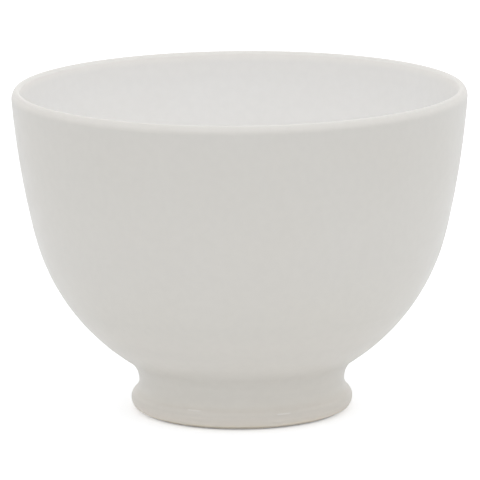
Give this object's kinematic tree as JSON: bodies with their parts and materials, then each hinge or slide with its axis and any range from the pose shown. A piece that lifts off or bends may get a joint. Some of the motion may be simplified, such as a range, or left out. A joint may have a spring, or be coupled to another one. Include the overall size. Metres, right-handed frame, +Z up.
{
  "type": "shaving bowl",
  "caption": "Handleless footed lather bowl with a round belly, gently flared wall and rounded lip, in white glazed porcelain.",
  "frame": {"origin": "middle of the foot, on the surface that the bowl stands on", "axes": "+Z up along the bowl's own axis; the bowl is round, so X and Y may point anywhere"},
  "size_m": [0.12, 0.12, 0.0862],
  "materials": {
    "clay": "matt, fired and bare",
    "glaze": "clear gloss over white porcelain"
  },
  "bodies": {
    "root": {"bowl_body": "clay", "foot_ring": "clay", "luting_slip": "clay", "outer_glaze": "glaze", "inner_glaze": "glaze", "foot_well_glaze": "glaze"}
  },
  "joints": []
}
